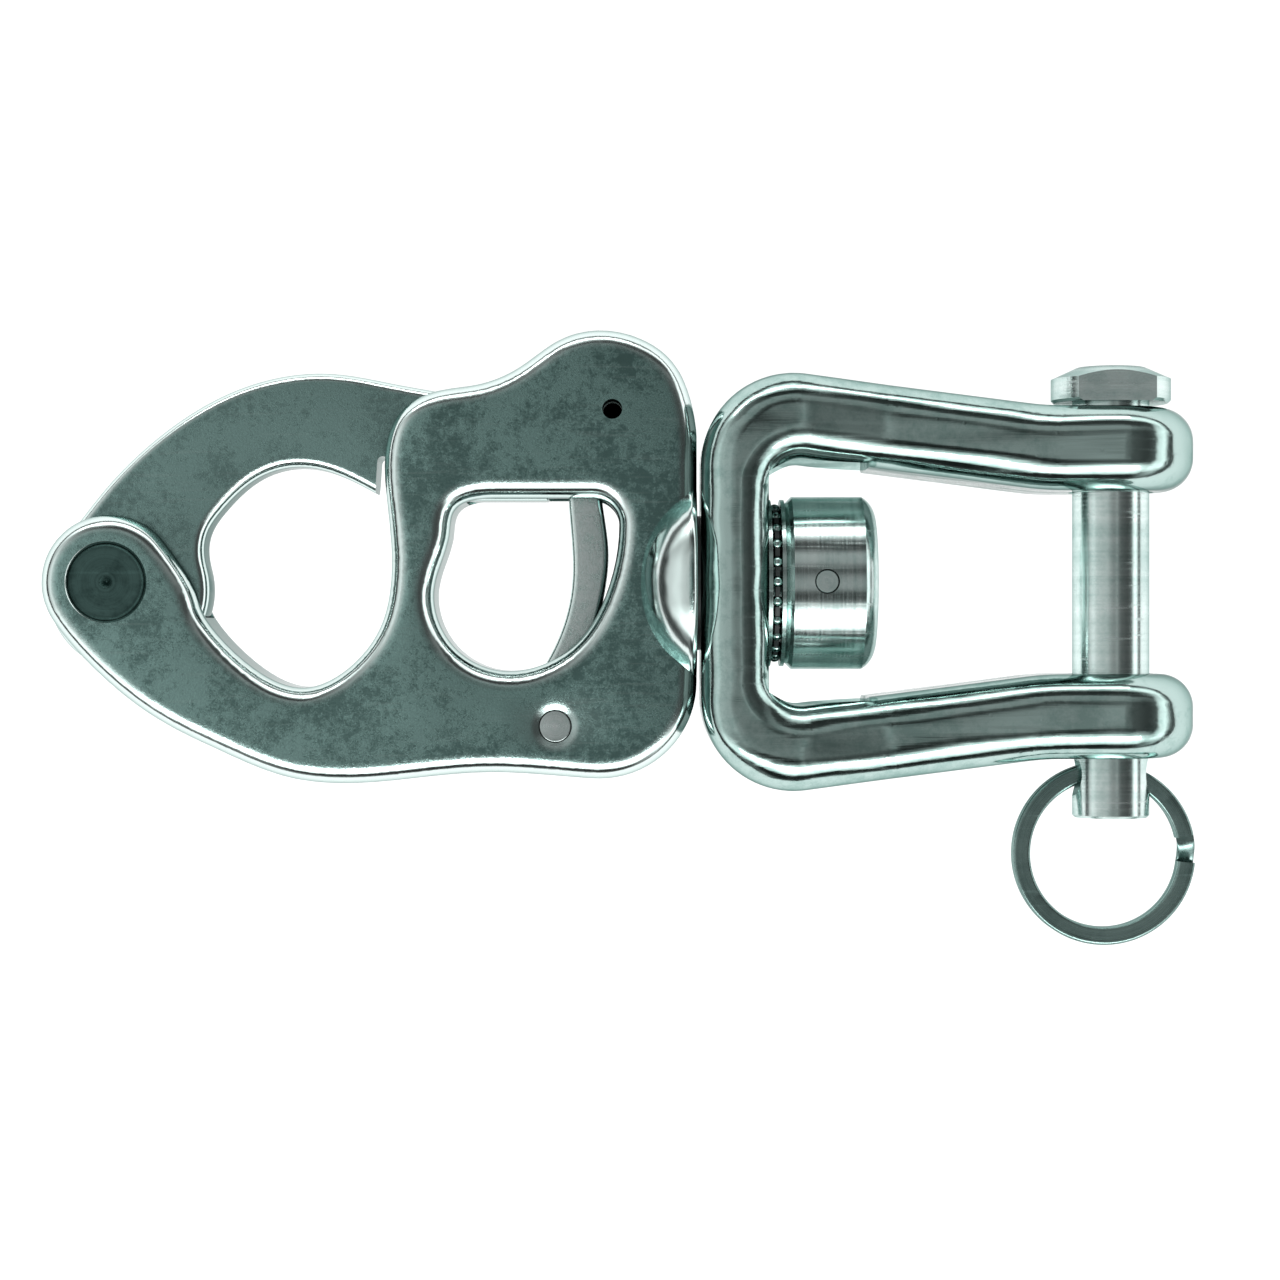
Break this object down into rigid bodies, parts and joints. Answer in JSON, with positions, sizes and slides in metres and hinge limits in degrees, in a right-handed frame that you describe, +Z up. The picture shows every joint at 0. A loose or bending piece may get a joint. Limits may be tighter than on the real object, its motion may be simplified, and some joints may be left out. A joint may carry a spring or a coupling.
{
  "type": "snap shackle",
  "caption": "Trigger-release snap shackle: hinged jaw over a hook bowl, finger-hole body, ball-bearing swivel, and a clevis with a removable pin held by a split ring.",
  "frame": {"origin": "middle of the clevis pin, between the ears, on the swivel axis", "axes": "+X along the swivel axis, away from the hook; +Y along the clevis pin towards its head; +Z up, out of the upper cheek, as the shackle lies on a table"},
  "size_m": [0.2395, 0.1275, 0.043],
  "materials": {
    "forged_steel": "tumbled cheeks, polished edges",
    "jaw_steel": "tumbled cheeks, polished edges",
    "trigger_steel": "satin, scratched",
    "polished_steel": "polished",
    "turned_steel": "fine turned",
    "pin_steel": "turned, riveted flush",
    "ring_steel": "drawn wire",
    "spring_steel": "drawn wire",
    "race_steel": "ground",
    "ball_steel": "polished",
    "bearing_plastic": "moulded"
  },
  "bodies": {
    "shackle_body": {"body": "forged_steel", "hinge_pin": "pin_steel", "trigger_pin": "pin_steel", "trigger_spring": "spring_steel", "hub_washer": "bearing_plastic", "upper_race": "race_steel", "swivel_nut": "turned_steel", "nut_dowel": "pin_steel"},
    "jaw": {"jaw": "jaw_steel"},
    "trigger": {"trigger": "trigger_steel"},
    "clevis": {"clevis": "polished_steel", "swivel_bush": "bearing_plastic", "lower_race": "race_steel"},
    "bearing": {"ball_cage": "bearing_plastic", "bearing_balls": "ball_steel"},
    "clevis_pin": {"clevis_pin": "turned_steel"},
    "split_ring": {"split_ring": "ring_steel"}
  },
  "joints": [
    {"name": "jaw_swing", "type": "hinge", "parent": "shackle_body", "child": "jaw", "pos_m": [-0.208, 0, 0], "axis": [0, 0, 1], "range_deg": [0, 100]},
    {"name": "trigger_pull", "type": "hinge", "parent": "shackle_body", "child": "trigger", "pos_m": [-0.1158, -0.0296, 0], "axis": [0, 0, -1], "range_deg": [0, 6], "stiffness_Nm_per_rad": 3, "springref_deg": -6.88, "deforming": ["trigger_spring"]},
    {"name": "clevis_swivel", "type": "hinge", "parent": "shackle_body", "child": "clevis", "pos_m": [-0.0867, 0, 0], "axis": [1, 0, 0], "continuous": true},
    {"name": "bearing_roll", "type": "hinge", "parent": "shackle_body", "child": "bearing", "pos_m": [-0.0703, 0, 0], "axis": [1, 0, 0], "continuous": true},
    {"name": "pin_turn", "type": "hinge", "parent": "clevis", "child": "clevis_pin", "pos_m": [0, 0, 0], "axis": [0, 1, 0], "continuous": true},
    {"name": "ring_swing", "type": "hinge", "parent": "clevis_pin", "child": "split_ring", "pos_m": [0, -0.0399, 0], "axis": [1, 0, 0], "range_deg": [-80, 80]}
  ],
  "couplings": [
    {"joint": "bearing_roll", "follows": "clevis_swivel", "ratio": 0.5}
  ]
}
